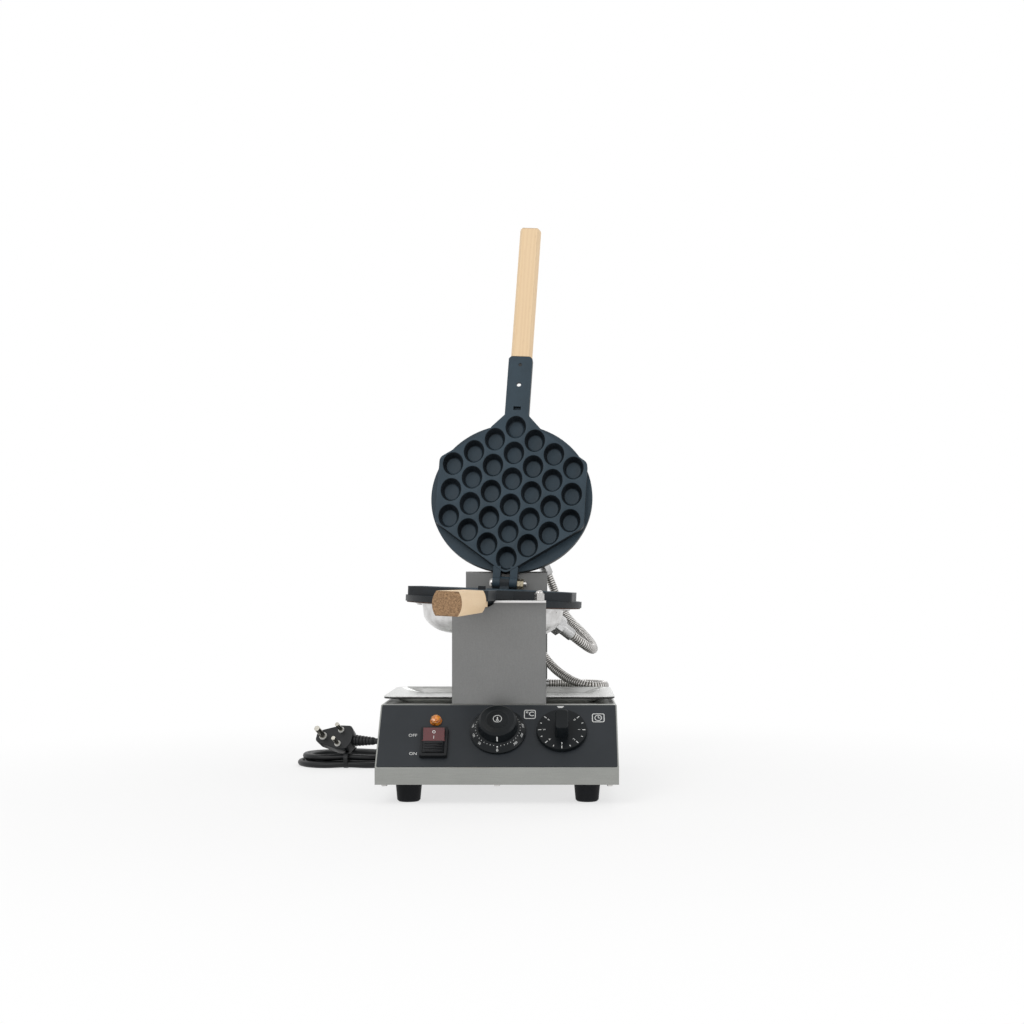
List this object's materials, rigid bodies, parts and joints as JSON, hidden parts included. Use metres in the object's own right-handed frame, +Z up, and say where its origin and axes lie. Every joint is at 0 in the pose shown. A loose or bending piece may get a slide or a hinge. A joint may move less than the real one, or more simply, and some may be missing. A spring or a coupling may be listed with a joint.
{
  "type": "egg waffle pan machine",
  "caption": "Countertop egg waffle maker: hinged round cell pans on a rear spindle over a sloped stainless base with dials.",
  "frame": {"origin": "on the table, under the middle of the machine's whole length and width, without its mains lead", "axes": "+Z up, +X to the right seen from the front, -Y to the front where the grips and dials are"},
  "size_m": [0.387, 0.6253, 0.687],
  "materials": {
    "stainless": "brushed sheet, fine grain",
    "coating": "satin blue-black non-stick coating",
    "bare_aluminium": "spun, lightly polished",
    "panel_black": "matt black printed overlay",
    "knob_black": "satin moulded plastic",
    "rocker_red": "translucent dark red",
    "amber": "clear amber lens",
    "zinc": "bright plated fasteners and fittings",
    "beech": "oiled light beech",
    "rubber_black": "matt rubber",
    "gasket_brown": "heatproof board, brown edge",
    "lead_black": "smooth black flex",
    "pin_brass": "plated plug pins",
    "grey_plastic": "moulded control bodies inside the casing",
    "conduit": "corrugated stainless conduit"
  },
  "bodies": {
    "base": {"base_hose": "conduit", "base_hose_elbow": "zinc", "bottom_plate": "stainless", "bottom_screws": "zinc", "casing": "stainless", "control_panel": "panel_black", "cord_gland": "knob_black", "cord_hank": "lead_black", "cord_tie": "lead_black", "foot_front_left": "rubber_black", "foot_front_right": "rubber_black", "foot_rear_left": "rubber_black", "foot_rear_right": "rubber_black", "foot_screws": "zinc", "front_upright": "stainless", "lamp_holder": "grey_plastic", "lamp_lens": "amber", "mains_cord": "lead_black", "plug_body": "lead_black", "plug_lead": "lead_black", "plug_pins": "pin_brass", "rear_upright": "stainless", "stop_cap_nuts": "zinc", "stop_nuts": "zinc", "stop_studs": "zinc", "switch_housing": "knob_black", "thermostat_body": "grey_plastic", "timer_body": "grey_plastic", "upright_screws": "zinc"},
    "lower_iron": {"lower_base_hose_fitting": "zinc", "lower_dome": "bare_aluminium", "lower_dome_screws": "zinc", "lower_gasket": "gasket_brown", "lower_handle": "beech", "lower_handle_screw": "zinc", "lower_heater": "bare_aluminium", "lower_lid_hose_fitting": "zinc", "lower_plate": "coating", "spindle": "zinc", "spindle_washer": "zinc", "spindle_nut": "zinc", "hinge_bolt": "zinc", "hinge_nuts": "zinc", "lid_hose": "conduit"},
    "upper_iron": {"upper_dome": "bare_aluminium", "upper_dome_screws": "zinc", "upper_gasket": "gasket_brown", "upper_handle": "beech", "upper_handle_screw": "zinc", "upper_heater": "bare_aluminium", "upper_lid_hose_fitting": "zinc", "upper_plate": "coating"},
    "rocker": {"power_rocker": "rocker_red"},
    "temperature_knob": {"temperature_dial": "knob_black", "temperature_cap": "knob_black"},
    "timer_knob": {"timer_knob": "knob_black"},
    "tray": {"drip_tray": "stainless"}
  },
  "joints": [
    {"name": "iron_spin", "type": "hinge", "parent": "base", "child": "lower_iron", "pos_m": [0, 0.18954, 0.22], "axis": [0.0732, 0.9973, 0], "range_deg": [-10, 3], "deforming": ["base_hose"]},
    {"name": "lid_hinge", "type": "hinge", "parent": "lower_iron", "child": "upper_iron", "pos_m": [-0.00122, 0.16882, 0.22679], "axis": [0.9964, -0.0732, -0.0436], "range_deg": [0, 105], "deforming": ["lid_hose"]},
    {"name": "temperature_knob_turn", "type": "hinge", "parent": "base", "child": "temperature_knob", "pos_m": [0, -0.07995, 0.07162], "axis": [0, -0.7344, 0.6787], "range_deg": [-270, 0]},
    {"name": "timer_knob_turn", "type": "hinge", "parent": "base", "child": "timer_knob", "pos_m": [0.0665, -0.07995, 0.07162], "axis": [0, -0.7344, 0.6787], "range_deg": [-330, 0]},
    {"name": "power_rocker_tilt", "type": "hinge", "parent": "base", "child": "rocker", "pos_m": [-0.066, -0.09335, 0.06317], "axis": [1, 0, 0], "range_deg": [-24, 0]},
    {"name": "drip_tray_slide", "type": "slide", "parent": "base", "child": "tray", "axis": [-1, 0, 0], "range_m": [0, 0.25]}
  ]
}
